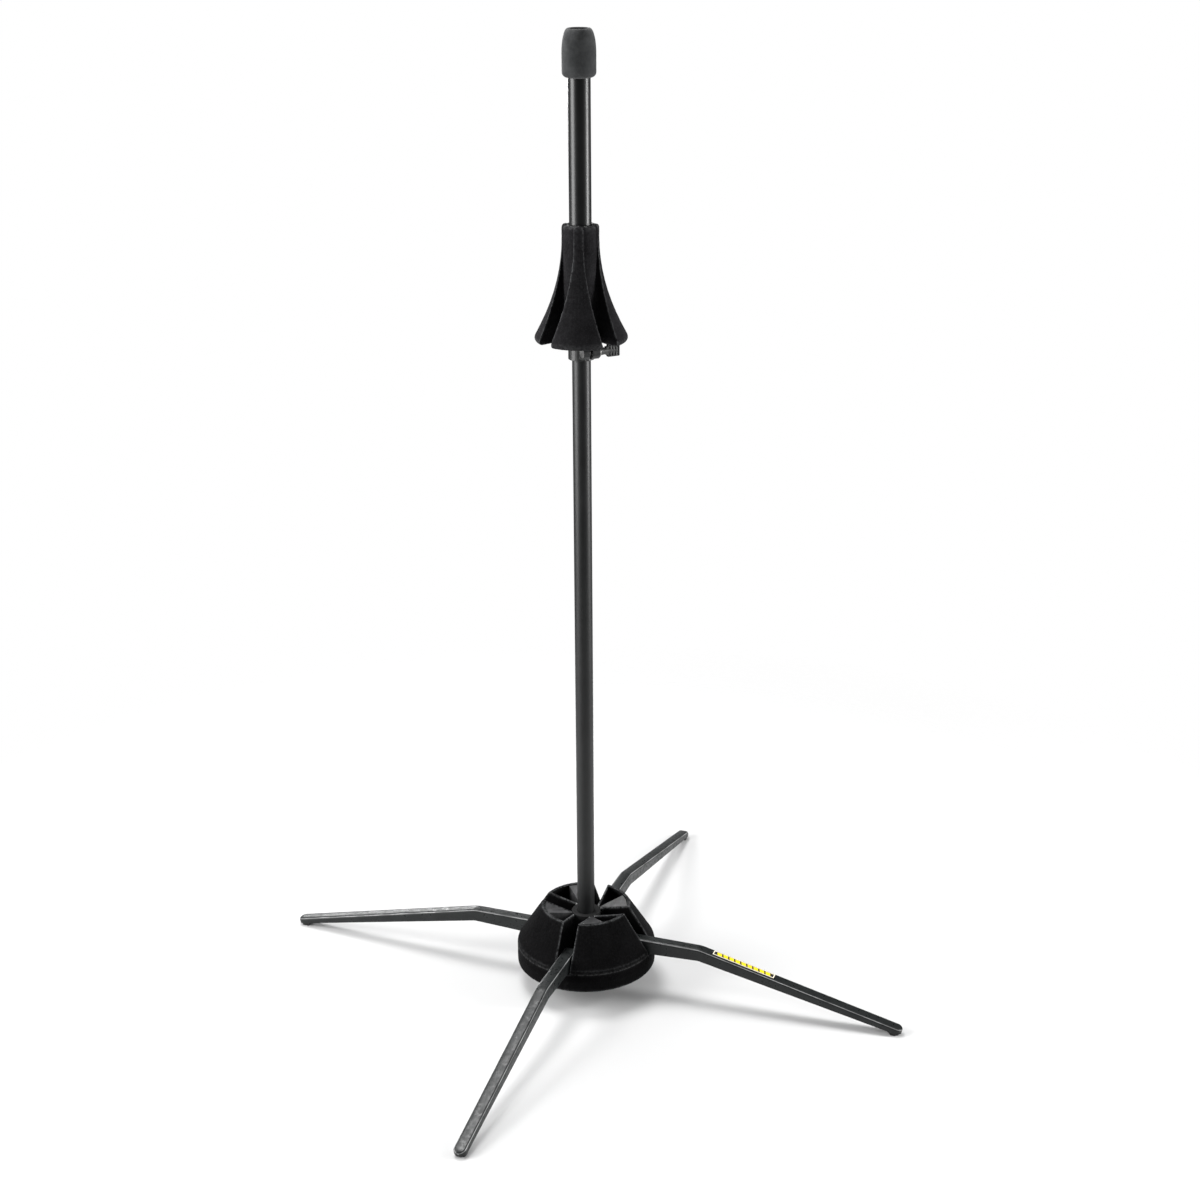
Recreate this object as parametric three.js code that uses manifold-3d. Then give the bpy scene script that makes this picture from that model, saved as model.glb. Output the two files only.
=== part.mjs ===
// Folding floor stand that holds a brass instrument by its bell.
// A telescoping shaft carries a padded tip and a flared, slotted bell cone. Four pressed
// channel legs fold up through the slots of a flocked hub. Millimetres, +Z up, with the
// origin on the floor under the shaft.

import * as THREE from 'three';
import { mergeVertices } from 'three/addons/utils/BufferGeometryUtils.js';
import Module from 'manifold-3d';

const wasm = await Module();
wasm.setup();

// ---------- driving dimensions ----------

const GAP = 0.3; // clearance between neighbouring pieces
const ROUND = 40; // facets around tubes
const FINE = 56; // facets around the cone and the hub

const tube = {
  lowerRadius: 7.15, lowerBore: 6.15, lowerFoot: 22.3, lowerTop: 640,
  upperRadius: 8.35, upperBore: 7.5, upperFoot: 545.5, upperTop: 776.3,
};

const foam = { radius: 12.55, bore: 8.5, mouth: 7.4, foot: 745.5, shoulder: 763, top: 780, edge: 4 };

const cone = {
  neck: 14, flare: 21.6, flareTop: 630, flareHeight: 75, lipRadius: 3, lipX: 32.3, lipZ: 554.5,
  top: 640, neckEdge: 2.5, bore: 8.65, core: 13.1, coreTop: 639.3, coreEdge: 2, slot: 13.5, turn: -31,
};

const clamp = {
  turn: -44, radius: 10, bore: 8.65, foot: 537.6, top: 551, lipBore: 7.7, lipHeight: 0.7,
  screwX: 13, screwZ: 545, earEdge: 5.2, earLeft: -6.2, earRight: 7.5, split: 2, hole: 2.2,
  nut: 4, nutThickness: 2.8,
};

const sleeve = { inner: 7.4, outer: 8.35, foot: 538.6, top: 545.2, split: 2 };

const knob = {
  screwRadius: 1.9, screwStart: -5.8, screwEnd: 13.7, foot: 8.9, neck: 15, end: 25,
  footRadius: 3.2, neckRadius: 2.5, wing: 4.8, wingThickness: 3, wingStart: 13.8, rib: 0.5,
};

const hub = {
  radius: 57.8, foot: 18.9, seam: 30.3, shoulder: 35.5, bend: 40.5, bendRadius: 55.5,
  topRadius: 36.8, top: 70.2, wall: 2.4, slot: 12.6, rib: 1.6, sill: 34.2, floor: 31.5,
  floorThickness: 3, ribFoot: 22.3, dish: 63.6, centre: 12.3, boss: 3.6, bossRadius: 52.5,
};

const core = { outer: 12, top: 63.5, web: 2.2, rib: 1.8, ribStart: 13.8, webRim: 34.1 };

const plate = { radius: 55, foot: 19.5, top: 22 };

const leg = {
  inner: 36.5, pivotX: 42, pivotZ: 41.5, top: 47, kink: 101, kinkRound: 25, tip: 272, tipTop: 6.1,
  width: 10.2, depth: 13, kinkDepth: 10.2, tipDepth: 4.9, tipRound: 4.2, tipDrop: 1.1, wall: 1.4,
  edge: 1.9, hole: 2,
};

const pad = {
  start: 260.5, heel: 2.5, end: 269, width: 8.4, round: 3, plugStart: 262.5, plugEnd: 267,
  plugWidth: 6, plugFoot: 0.8,
};

const label = { start: 112, length: 54, width: 6.4, thickness: 0.4, lift: 0.1 };

const legNames = ['east', 'north', 'west', 'south'];
const slope = Math.atan2(leg.top - leg.tipTop, leg.tip - leg.kink);

// ---------- materials ----------

function paint(color, roughness, metalness) {
  return new THREE.MeshStandardMaterial({ color, roughness, metalness });
}

const flock = paint(0x121114, 1, 0);
const foamSkin = paint(0x3a3c3e, 0.95, 0);
const glossPaint = paint(0x17191b, 0.3, 0.4);
const satinPaint = paint(0x2a2d2f, 0.5, 0.4);
const legPaint = paint(0x24292b, 0.45, 0.4);
const darkPlastic = paint(0x1c1e1f, 0.6, 0);
const greyPlastic = paint(0x46484a, 0.7, 0);
const rubber = paint(0x101010, 0.9, 0);
const steel = paint(0x9a9c9e, 0.35, 1);
const labelInk = paint(0xc9a227, 0.6, 0);

// ---------- solids ----------

// A closed manifold solid from a three.js geometry, turned to face outwards.
function solid(geometry) {
  const bare = geometry.index ? geometry.toNonIndexed() : geometry.clone();
  bare.deleteAttribute('normal');
  bare.deleteAttribute('uv');
  const merged = mergeVertices(bare, 1e-4);
  const corners = merged.index.array;
  const triangles = [];
  for (let i = 0; i < corners.length; i += 3) {
    const [a, b, c] = corners.slice(i, i + 3);
    if (a !== b && b !== c && c !== a) triangles.push(a, b, c);
  }
  const places = merged.attributes.position.array;
  if (signedVolume(places, triangles) < 0) triangles.reverse();
  const mesh = new wasm.Mesh({
    numProp: 3,
    vertProperties: new Float32Array(places),
    triVerts: new Uint32Array(triangles),
  });
  mesh.merge();
  return new wasm.Manifold(mesh);
}

function signedVolume(places, triangles) {
  const corner = (i) => new THREE.Vector3().fromArray(places, 3 * triangles[i]);
  let volume = 0;
  for (let i = 0; i < triangles.length; i += 3) {
    volume += corner(i).dot(corner(i + 1).cross(corner(i + 2))) / 6;
  }
  return volume;
}

function geometryOf(shape) {
  const mesh = shape.getMesh();
  const geometry = new THREE.BufferGeometry();
  geometry.setAttribute('position', new THREE.BufferAttribute(mesh.vertProperties, mesh.numProp));
  geometry.setIndex(new THREE.BufferAttribute(mesh.triVerts, 1));
  return geometry;
}

// A solid of revolution about +Z from a closed outline of [radius, height] points.
function revolve(outline, facets = ROUND) {
  const points = [...outline, outline[0]].map(([r, z]) => new THREE.Vector2(r, z));
  return solid(new THREE.LatheGeometry(points, facets).rotateX(Math.PI / 2));
}

function ring(inner, outer, foot, top, facets = ROUND) {
  return revolve([[inner, foot], [outer, foot], [outer, top], [inner, top]], facets);
}

function post(radius, foot, top, facets = 20) {
  const geometry = new THREE.CylinderGeometry(radius, radius, top - foot, facets);
  return solid(geometry.rotateX(Math.PI / 2).translate(0, 0, (foot + top) / 2));
}

function box(x0, x1, y0, y1, z0, z1) {
  const geometry = new THREE.BoxGeometry(x1 - x0, y1 - y0, z1 - z0);
  return solid(geometry.translate((x0 + x1) / 2, (y0 + y1) / 2, (z0 + z1) / 2));
}

// A cylinder or cone along +Y from y0 to y1 about the line through (x, z).
function crossPost(x, z, y0, y1, radius0, radius1 = radius0, facets = 16) {
  const geometry = new THREE.CylinderGeometry(radius1, radius0, y1 - y0, facets);
  return solid(geometry.translate(x, (y0 + y1) / 2, z));
}

// A flat outline of [x, z] points pushed along Y from y0 to y1.
function slab(outline, y0, y1) {
  const shape = new THREE.Shape(outline.map(([x, z]) => new THREE.Vector2(x, z)));
  const geometry = new THREE.ExtrudeGeometry(shape, { depth: y1 - y0, bevelEnabled: false });
  return solid(geometry.rotateX(Math.PI / 2).translate(0, y1, 0));
}

// A solid through a row of convex sections that have equally many corners.
function loft(sections) {
  const count = sections[0].length;
  const faces = [];
  const quad = (a, b, c, d) => faces.push(a, b, c, a, c, d);
  for (let i = 0; i + 1 < sections.length; i += 1) {
    for (let k = 0; k < count; k += 1) {
      const next = (k + 1) % count;
      quad(sections[i][k], sections[i][next], sections[i + 1][next], sections[i + 1][k]);
    }
  }
  const first = sections[0];
  const last = sections[sections.length - 1];
  for (let k = 1; k + 1 < count; k += 1) {
    faces.push(first[0], first[k + 1], first[k]);
    faces.push(last[0], last[k], last[k + 1]);
  }
  return solid(new THREE.BufferGeometry().setFromPoints(faces));
}

function arc(cx, cz, radius, from, to, steps) {
  return Array.from({ length: steps + 1 }, (_, i) => {
    const angle = THREE.MathUtils.degToRad(from + ((to - from) * i) / steps);
    return [cx + radius * Math.cos(angle), cz + radius * Math.sin(angle)];
  });
}

function join(shapes) {
  return shapes.reduce((all, shape) => all.add(shape));
}

function turned(shape, degrees) {
  const geometry = geometryOf(shape);
  return solid(geometry.rotateZ(THREE.MathUtils.degToRad(degrees)));
}

function fourTurned(shape, start = 0) {
  return join([0, 90, 180, 270].map((angle) => turned(shape, start + angle)));
}

// ---------- shaft ----------

function lowerTube() {
  return ring(tube.lowerBore, tube.lowerRadius, tube.lowerFoot, tube.lowerTop);
}

function upperTube() {
  return ring(tube.upperBore, tube.upperRadius, tube.upperFoot, tube.upperTop);
}

// A cap on the lower tube's end that steadies it inside the upper tube.
function guideBush() {
  const flange = post(tube.upperBore - 0.25, tube.lowerTop + GAP, tube.lowerTop + 3, ROUND);
  const stem = post(tube.lowerBore - GAP, tube.lowerTop - 8, tube.lowerTop + 1, ROUND);
  return flange.add(stem);
}

function topPlug() {
  return post(tube.upperBore - GAP, tube.upperTop - 12, tube.upperTop - 6, ROUND);
}

// A soft sleeve that closes in over the tube's end and leaves a round mouth.
function foamGrip() {
  const shoulder = Array.from({ length: 8 }, (_, i) => {
    const angle = (i / 7) * (Math.PI / 2);
    const reach = foam.radius - foam.mouth - 0.6;
    return [
      foam.mouth + 0.6 + reach * Math.cos(angle),
      foam.shoulder + (foam.top - foam.shoulder) * Math.sin(angle),
    ];
  });
  return revolve([
    [foam.bore, foam.foot],
    ...arc(foam.radius - foam.edge, foam.foot + foam.edge, foam.edge, -85, -8, 4),
    ...shoulder,
    [foam.mouth, foam.top - 0.7],
    [foam.mouth, tube.upperTop + GAP],
    [foam.bore, tube.upperTop + GAP],
  ]);
}

// ---------- bell cone ----------

function coneRadius(z) {
  const depth = Math.max(0, cone.flareTop - z) / cone.flareHeight;
  return cone.neck + cone.flare * depth * depth;
}

function coneOutline() {
  const steps = 9;
  const lipTop = cone.lipZ + cone.lipRadius / 2;
  const flare = Array.from({ length: steps }, (_, i) => {
    const z = lipTop + ((cone.flareTop - lipTop) * (i + 1)) / steps;
    return [coneRadius(z), z];
  });
  return [
    [cone.bore, cone.lipZ - cone.lipRadius],
    ...arc(cone.lipX, cone.lipZ, cone.lipRadius, -90, 30, 5),
    ...flare,
    ...arc(cone.neck - cone.neckEdge, cone.top - cone.neckEdge, cone.neckEdge, 0, 90, 3),
    [cone.bore, cone.top],
  ];
}

// Four flared wings on a round core, with a straight slot between each pair.
function bellCone() {
  const foot = cone.lipZ - cone.lipRadius;
  const half = cone.slot / 2;
  const slots = fourTurned(box(0, 50, -half, half, foot - 5, cone.top + 5), cone.turn);
  const edge = cone.coreEdge;
  const sleeveCore = revolve([
    [cone.bore, foot],
    [cone.core, foot],
    ...arc(cone.core - edge, cone.coreTop - edge, edge, 0, 90, 3),
    [cone.bore, cone.coreTop],
  ], FINE);
  return revolve(coneOutline(), FINE).subtract(slots).add(sleeveCore);
}

// ---------- clamp ----------

// A split collar with two ears that the wing screw draws together.
function clampCollar() {
  const collar = revolve([
    [clamp.lipBore, clamp.foot],
    [clamp.radius, clamp.foot],
    [clamp.radius, clamp.top],
    [clamp.bore, clamp.top],
    [clamp.bore, clamp.foot + clamp.lipHeight],
    [clamp.lipBore, clamp.foot + clamp.lipHeight],
  ]);
  const edge = clamp.earEdge;
  const ear = slab([
    [clamp.bore + 0.4, clamp.screwZ - edge],
    ...arc(clamp.screwX, clamp.screwZ, edge, -90, 90, 8),
    [clamp.bore + 0.4, clamp.screwZ + edge],
  ], clamp.earLeft, clamp.earRight);
  const bore = post(clamp.bore, clamp.foot + clamp.lipHeight, clamp.top + 1, ROUND);
  const split = box(4, 20, -clamp.split / 2, clamp.split / 2, clamp.foot - 1, clamp.top + 1);
  const { screwX: x, screwZ: z, earLeft, nut, nutThickness } = clamp;
  const hole = crossPost(x, z, -12, 12, clamp.hole);
  const pocket = crossPost(x, z, earLeft - 1, earLeft + nutThickness + 2 * GAP, nut + 0.4, nut + 0.4, 6);
  return collar.add(ear.subtract(bore)).subtract(join([split, hole, pocket]));
}

function frictionSleeve() {
  const half = sleeve.split / 2;
  const cut = box(4, 12, -half, half, sleeve.foot - 1, sleeve.top + 1);
  return ring(sleeve.inner, sleeve.outer, sleeve.foot, sleeve.top).subtract(cut);
}

function clampNut() {
  const start = clamp.earLeft + GAP;
  const end = start + clamp.nutThickness;
  const hex = crossPost(clamp.screwX, clamp.screwZ, start, end, clamp.nut, clamp.nut, 6);
  return hex.subtract(crossPost(clamp.screwX, clamp.screwZ, start - 1, end + 1, clamp.hole));
}

function clampWasher() {
  const start = clamp.earRight + GAP;
  const disc = crossPost(clamp.screwX, clamp.screwZ, start, start + 0.8, 4.2);
  return disc.subtract(crossPost(clamp.screwX, clamp.screwZ, start - 1, start + 2, clamp.hole));
}

function clampScrew() {
  return crossPost(clamp.screwX, clamp.screwZ, knob.screwStart, knob.screwEnd, knob.screwRadius);
}

// The moulded wing, with a tapered stem and ribs for the fingers.
function wingKnob() {
  const { screwX: x, screwZ: z } = clamp;
  const half = knob.wingThickness / 2;
  const stem = crossPost(x, z, knob.foot, knob.neck, knob.footRadius, knob.neckRadius);
  const spine = crossPost(x, z, knob.neck - 1, knob.end - 1.5, knob.neckRadius - 0.2, 2);
  const corner = 1.6;
  const wing = box(x - half, x + half, knob.wingStart, knob.end, z - knob.wing, z + knob.wing);
  const ends = join([-1, 1].map((side) => box(
    x - half, x + half, knob.wingStart - 1, knob.wingStart + corner,
    z + side * knob.wing - corner, z + side * knob.wing + corner,
  )));
  const ribs = join([0, 1, 2, 3].flatMap((i) => [-1, 1].map((side) => {
    const y = knob.wingStart + 3.2 + i * 2.3;
    const face = x + side * half;
    return box(face - knob.rib, face + knob.rib, y, y + 1.1, z - knob.wing + 0.6, z + knob.wing - 0.6);
  })));
  const hole = crossPost(x, z, knob.foot - 1, knob.screwEnd + GAP, clamp.hole);
  return join([stem, spine, wing.subtract(ends), ribs]).subtract(hole);
}

// ---------- hub ----------

function hubSurface() {
  return [
    [hub.radius, hub.foot],
    [hub.radius, hub.seam - 0.5],
    [hub.radius - 0.6, hub.seam],
    [hub.radius, hub.seam + 0.5],
    [hub.radius, hub.shoulder],
    [hub.radius - 0.7, (hub.shoulder + hub.bend) / 2],
    [hub.bendRadius, hub.bend],
    [hub.topRadius, hub.top],
  ];
}

function hubWall() {
  const inner = [
    [hub.topRadius - hub.wall, hub.top - 0.3],
    [hub.bendRadius - hub.wall, hub.bend - 1],
    [hub.radius - hub.wall, hub.shoulder - 1],
    [hub.radius - hub.wall, hub.foot],
  ];
  return revolve([...hubSurface(), ...inner], FINE);
}

// Everything below the dished top and inside the wall's middle, which trims the ribs.
function hubInside() {
  const middle = hub.wall / 2;
  return revolve([
    [0, hub.ribFoot],
    [hub.radius - middle, hub.ribFoot],
    [hub.radius - middle, hub.shoulder],
    [hub.bendRadius - middle, hub.bend],
    [hub.topRadius - middle, hub.top - 0.4],
    [hub.centre, hub.dish],
    [0, hub.dish],
  ], FINE);
}

function hubShell() {
  const half = hub.slot / 2;
  const rib = (side) => box(
    5, hub.radius, side * (half + hub.rib / 2) - hub.rib / 2,
    side * (half + hub.rib / 2) + hub.rib / 2, hub.ribFoot, hub.top + 5,
  );
  const floor = box(5, hub.radius, -half, half, hub.floor - hub.floorThickness, hub.floor);
  const lining = fourTurned(join([rib(-1), rib(1), floor])).intersect(hubInside());
  const boss = turned(post(hub.boss, hub.ribFoot, 33).translate(hub.bossRadius, 0, 0), 45);
  const screwHole = turned(post(1.6, 20, 31).translate(hub.bossRadius, 0, 0), 45);
  const wayOut = box(20, 80, -half, half, hub.sill, 90);
  const well = box(5, 52, -half, half, hub.floor, 90);
  const pivot = crossPost(leg.pivotX, leg.pivotZ, -12, 12, leg.hole);
  return join([hubWall(), lining, fourTurned(boss)])
    .subtract(fourTurned(join([wayOut, well, pivot])))
    .subtract(fourTurned(screwHole))
    .subtract(post(hub.centre, 10, 90, FINE));
}

// The smooth inner moulding: a socket for the shaft with four dished webs and their ribs.
function hubCore() {
  const socket = ring(tube.lowerRadius + GAP, core.outer, hub.ribFoot, core.top);
  const slopeAt = (r) => hub.dish + ((hub.top - hub.dish) * (r - hub.centre)) / (hub.topRadius - hub.centre);
  const dish = revolve([
    [core.outer - 1, slopeAt(core.outer) - core.web - 0.4],
    [core.webRim, slopeAt(core.webRim) - core.web - 0.4],
    [core.webRim, slopeAt(core.webRim) - 0.4],
    [core.outer - 1, slopeAt(core.outer) - 0.4],
  ], FINE);
  const clearance = hub.slot / 2 + hub.rib + GAP;
  const quarter = box(0, 40, 0, 40, 50, 80).subtract(turned(box(0, 60, 0, 60, 40, 90), 45));
  const web = dish.intersect(quarter).subtract(box(0, 60, -clearance, clearance, 40, 90));
  const bar = slab([
    [core.ribStart, hub.ribFoot],
    [core.webRim, hub.ribFoot],
    [core.webRim, slopeAt(core.webRim) - 1],
    [core.ribStart, slopeAt(core.ribStart) - 1],
  ], -core.rib, 0);
  const rib = turned(bar, 45);
  return join([fourTurned(web), fourTurned(rib)]).subtract(post(core.outer - 0.5, 10, 90)).add(socket);
}

function basePlate() {
  const hole = post(1.7, 10, 30).translate(hub.bossRadius, 0, 0);
  return post(plate.radius, plate.foot, plate.top, FINE)
    .subtract(fourTurned(hole, 45))
    .subtract(post(2.4, 10, 30));
}

function plateScrew() {
  const screw = post(2.6, plate.foot - 1.8, plate.foot - GAP).add(post(1.3, plate.foot - 1, 29));
  return screw.translate(hub.bossRadius, 0, 0);
}

function tubePlug() {
  const foot = tube.lowerFoot + GAP;
  return ring(2.3, tube.lowerBore - GAP, foot, foot + 17);
}

function hubWasher() {
  return ring(2.4, 6.5, plate.foot - GAP - 1, plate.foot - GAP);
}

function hubScrew() {
  const seat = plate.foot - 2 * GAP - 1;
  return post(4.4, seat - 2.4, seat).add(post(2, seat - 1, 36));
}

// ---------- legs ----------

// Height of the leg's top face and its downward angle at a distance from the shaft.
function legTop(x) {
  if (x <= leg.kink) return leg.top;
  return leg.top - (x - leg.kink) * Math.tan(slope);
}

// The channel is deepest at its root and tapers through the kink to the tip.
function legDepth(x) {
  const along = (from, to) => (x - from) / (to - from);
  if (x <= leg.kink) return leg.depth + (leg.kinkDepth - leg.depth) * along(leg.inner, leg.kink);
  return leg.kinkDepth + (leg.tipDepth - leg.kinkDepth) * along(leg.kink, leg.tip);
}

// Places along the leg: straight, a short round bend, straight again and a round tip.
function legStations(inset) {
  const reach = leg.kinkRound * Math.tan(slope / 2);
  const bend = Array.from({ length: 4 }, (_, i) => {
    const angle = (slope * i) / 3;
    return {
      x: leg.kink - reach + leg.kinkRound * Math.sin(angle),
      z: leg.top - leg.kinkRound * (1 - Math.cos(angle)),
      angle,
      half: leg.width / 2 - inset,
    };
  });
  const half = leg.width / 2 - inset;
  const round = leg.tipRound - inset;
  const tip = Array.from({ length: 5 }, (_, i) => {
    const angle = (Math.PI / 2) * (i / 4);
    const x = leg.tip - inset - round * (1 - Math.sin(angle));
    const drop = leg.tipDrop * (1 - Math.cos(angle));
    return { x, z: legTop(x) - drop, angle: slope, half: half - round * (1 - Math.cos(angle)), drop };
  });
  const start = leg.inner - (inset > 0 ? 5 : 0);
  return [{ x: start, z: leg.top, angle: 0, half }, ...bend, ...tip];
}

// The cross-section at one place: flat below, with rounded upper edges.
function legSection({ x, z, angle, half, drop = 0 }, inset) {
  const depth = legDepth(x) - drop + (inset > 0 ? 6 : 0);
  const edge = Math.min(Math.max(leg.edge - inset, 0.4), 0.9 * half);
  const side = arc(half - edge, -inset - edge, edge, 0, 90, 3);
  const outline = [[half, -depth], ...side, ...side.map(([y, h]) => [-y, h]).reverse(), [-half, -depth]];
  return outline.map(([y, h]) => new THREE.Vector3(
    x + h * Math.sin(angle), y, z + h * Math.cos(angle),
  ));
}

function legSolid(inset) {
  return loft(legStations(inset).map((station) => legSection(station, inset)));
}

function legChannel() {
  const pivot = crossPost(leg.pivotX, leg.pivotZ, -12, 12, leg.hole);
  return legSolid(0).subtract(legSolid(leg.wall)).subtract(pivot);
}

// A rubber foot wedged between the channel's lower edges and the floor.
function footPad() {
  const under = (x) => legTop(x) - legDepth(x) / Math.cos(slope) - GAP;
  const { start, heel, end } = pad;
  const wedge = slab([
    [start + heel, 0], [end, 0], [end, under(end)], [start, under(start)],
  ], -pad.width / 2, pad.width / 2);
  const inside = (x) => legTop(x) - leg.wall / Math.cos(slope) - 2 * GAP;
  const plug = slab([
    [pad.plugStart, pad.plugFoot], [pad.plugEnd, pad.plugFoot], [pad.plugEnd, inside(pad.plugEnd)],
    [pad.plugStart, inside(pad.plugStart)],
  ], -pad.plugWidth / 2, pad.plugWidth / 2);
  const half = pad.width / 2;
  const round = pad.round;
  const corners = [-1, 1].map((side) => post(round, -1, 20).translate(end - round, side * (half - round), 0));
  const middle = box(start - 1, end, round - half, half - round, -1, 20);
  const back = box(start - 1, end - round, -half, half, -1, 20);
  return wedge.intersect(join([...corners, middle, back])).add(plug);
}

function pivotPin() {
  const reach = hub.slot / 2 + hub.rib;
  const shank = crossPost(leg.pivotX, leg.pivotZ, -reach - 0.7, reach + 0.6, leg.hole - GAP);
  return shank.add(crossPost(leg.pivotX, leg.pivotZ, reach + GAP, reach + 1.5, 2.6));
}

function labelStrip() {
  const along = label.length * Math.cos(slope);
  const low = (x) => legTop(x) + label.lift;
  const high = (x) => low(x) + label.thickness / Math.cos(slope);
  const end = label.start + along;
  return slab([
    [label.start, low(label.start)], [end, low(end)], [end, high(end)],
    [label.start, high(label.start)],
  ], -label.width / 2, label.width / 2);
}

// ---------- assembly ----------

const stand = new THREE.Group();

function place(name, shape, material, group = stand) {
  const mesh = new THREE.Mesh(geometryOf(shape), material);
  mesh.name = name;
  group.add(mesh);
}

function quarterGroup(index, offset = 0) {
  const group = new THREE.Group();
  group.rotation.z = THREE.MathUtils.degToRad(90 * index + offset);
  stand.add(group);
  return group;
}

place('lower_tube', lowerTube(), satinPaint);
place('tube_guide_bush', guideBush(), darkPlastic);
place('tube_plug', tubePlug(), greyPlastic);
place('hub_shell', hubShell(), flock);
place('hub_core', hubCore(), greyPlastic);
place('base_plate', basePlate(), legPaint);
place('hub_screw', hubScrew(), steel);
place('hub_washer', hubWasher(), steel);

place('upper_tube', upperTube(), glossPaint);
place('top_plug', topPlug(), darkPlastic);
place('foam_grip', foamGrip(), foamSkin);
place('bell_cone', bellCone(), flock);

const clampGroup = new THREE.Group();
clampGroup.rotation.z = THREE.MathUtils.degToRad(clamp.turn);
stand.add(clampGroup);
place('clamp_collar', clampCollar(), darkPlastic, clampGroup);
place('friction_sleeve', frictionSleeve(), greyPlastic, clampGroup);
place('clamp_nut', clampNut(), steel, clampGroup);
place('clamp_washer', clampWasher(), steel, clampGroup);
place('clamp_screw', clampScrew(), steel, clampGroup);
place('wing_knob', wingKnob(), darkPlastic, clampGroup);

legNames.forEach((name, index) => {
  const group = quarterGroup(index);
  place(`leg_channel_${name}`, legChannel(), legPaint, group);
  place(`foot_pad_${name}`, footPad(), rubber, group);
  place(`pivot_pin_${name}`, pivotPin(), steel, group);
  place(`plate_screw_${index + 1}`, plateScrew(), steel, quarterGroup(index, 45));
  if (name === 'east') place('label_strip', labelStrip(), labelInk, group);
});

export default stand;
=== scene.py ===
"""Looks of the floor stand: fine pieces, materials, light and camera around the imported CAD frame."""

import math

import bpy
import numpy as np
from mathutils import Matrix, Vector


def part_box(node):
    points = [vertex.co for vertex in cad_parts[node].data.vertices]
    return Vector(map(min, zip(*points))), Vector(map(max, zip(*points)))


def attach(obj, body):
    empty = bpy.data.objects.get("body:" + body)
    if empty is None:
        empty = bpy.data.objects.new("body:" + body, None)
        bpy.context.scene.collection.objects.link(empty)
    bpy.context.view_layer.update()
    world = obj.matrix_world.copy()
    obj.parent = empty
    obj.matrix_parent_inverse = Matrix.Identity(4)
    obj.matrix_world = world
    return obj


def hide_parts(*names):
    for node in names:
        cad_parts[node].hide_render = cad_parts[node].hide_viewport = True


# ---------- driving dimensions, in metres, and in radians where nothing else is said ----------

MM = 0.001
FACETS = 112  # around the tubes and the foam tip
CAD_FACETS = 56  # around the CAD cone and hub, which are rounded out here

LEG = {
    "inner": 36.5 * MM, "top": 47 * MM, "kink": 101 * MM, "kink_round": 25 * MM,
    "tip": 272 * MM, "tip_top": 6.1 * MM, "width": 10.2 * MM, "depth": 13 * MM,
    "kink_depth": 10.2 * MM, "tip_depth": 4.9 * MM, "tip_round": 4.2 * MM, "tip_drop": 1.1 * MM,
    "wall": 1.4 * MM, "edge": 1.9 * MM,
}
LEG_NAMES = ("east", "north", "west", "south")
LEG_STEPS = {"straight": 6, "bend": 8, "slope": 12, "tip": 8, "edge": 6}
LEG_ROW = 2 * (LEG_STEPS["edge"] + 3) + 1  # points across one skin of a leg
CREASE = 2 + LEG_STEPS["edge"] // 2  # the point in the middle of a leg's rounded edge
SLOPE = math.atan2(LEG["top"] - LEG["tip_top"], LEG["tip"] - LEG["kink"])

TUBE_WALL = {"lower": 1.0 * MM, "upper": 0.85 * MM}
TUBE_RIM = 0.45 * MM

FOAM = {
    "mouth": 7.4 * MM, "lip": 0.6 * MM, "rim_drop": 0.7 * MM, "shoulder": 763 * MM, "edge": 4 * MM,
    "bore_gap": 0.15 * MM, "end_gap": 0.3 * MM,  # to the side and to the end of the upper tube
}
FOAM_STEPS = {"edge": 10, "side": 10, "shoulder": 16}

CONE = {
    "neck": 9 * MM,  # radius at which the cone's top meets the upper tube
    "torn_out": 3 * MM, "torn_down": 5 * MM,  # how far the torn pile reaches from the neck
}

HUB = {
    "seam": 34.9 * MM,  # height of a pale line round the pile
    "groove": 30.3 * MM,  # height of a groove in the moulding, which the pile bridges
    "groove_reach": 1.2 * MM,  # takes in half the groove's height, and its depth
    "unmarked": 2.5 * MM,  # no edges are marked this near to the groove
    "socket": 12.2 * MM,  # the webs get painted shade within this radius, round the shaft
    "centre": 12.3 * MM, "top": 64 * MM,  # radius and height where the pile is torn most
    "torn_out": 2.5 * MM, "torn_down": 12 * MM,  # how far the torn pile reaches from there
}
PILE = {"flock": 0.00007, "foam": 0.00006}  # height of the seeded bumps

LABEL = {
    "bars": 9, "slant": 0.35, "margin": 0.003,
    "outline": (0.0001, 0.00025, 0.0009, 0.00105),  # where the cream line fades in and out
}

FLOOR_RINGS = (0.0005, 0.4, 0.8, 1.2)
FLOOR_FADE = (0.42, 0.75)  # the floor turns clear between these radii
ROOM_LIGHT = 0.13  # strength of the dim grey studio round the stand

CAMERA = {
    "sensor": 36, "focal": 1.7205,  # the sensor's width in mm, and focal length over that width
    "height": 0.9244, "distance": 1.5264, "azimuth": math.radians(20.59),
    "pitch": math.radians(20.895), "yaw": math.radians(0.491), "roll": math.radians(-0.306),
}

LIGHTS = {
    # bearing and elevation in degrees, distance, (width, height), watts, height that it faces
    "overhead": (0, 88, 2.0, (2.4, 2.4), 9, 0.3),
    "key": (-146, 70, 2.2, (0.9, 0.9), 36, 0.0),
    "back_panel": (-165, 14, 2.2, (0.8, 0.3), 11, 0.1),
    "left_high": (-84, 41, 1.6, (0.35, 0.35), 6, 0.0),
    "left_strip": (-74, 0, 1.3, (0.8, 1.0), 27, 0.55),
    "right_strip": (84, 0, 1.3, (0.34, 1.0), 24, 0.55),
}

# ---------- the CAD frame ----------

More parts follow.
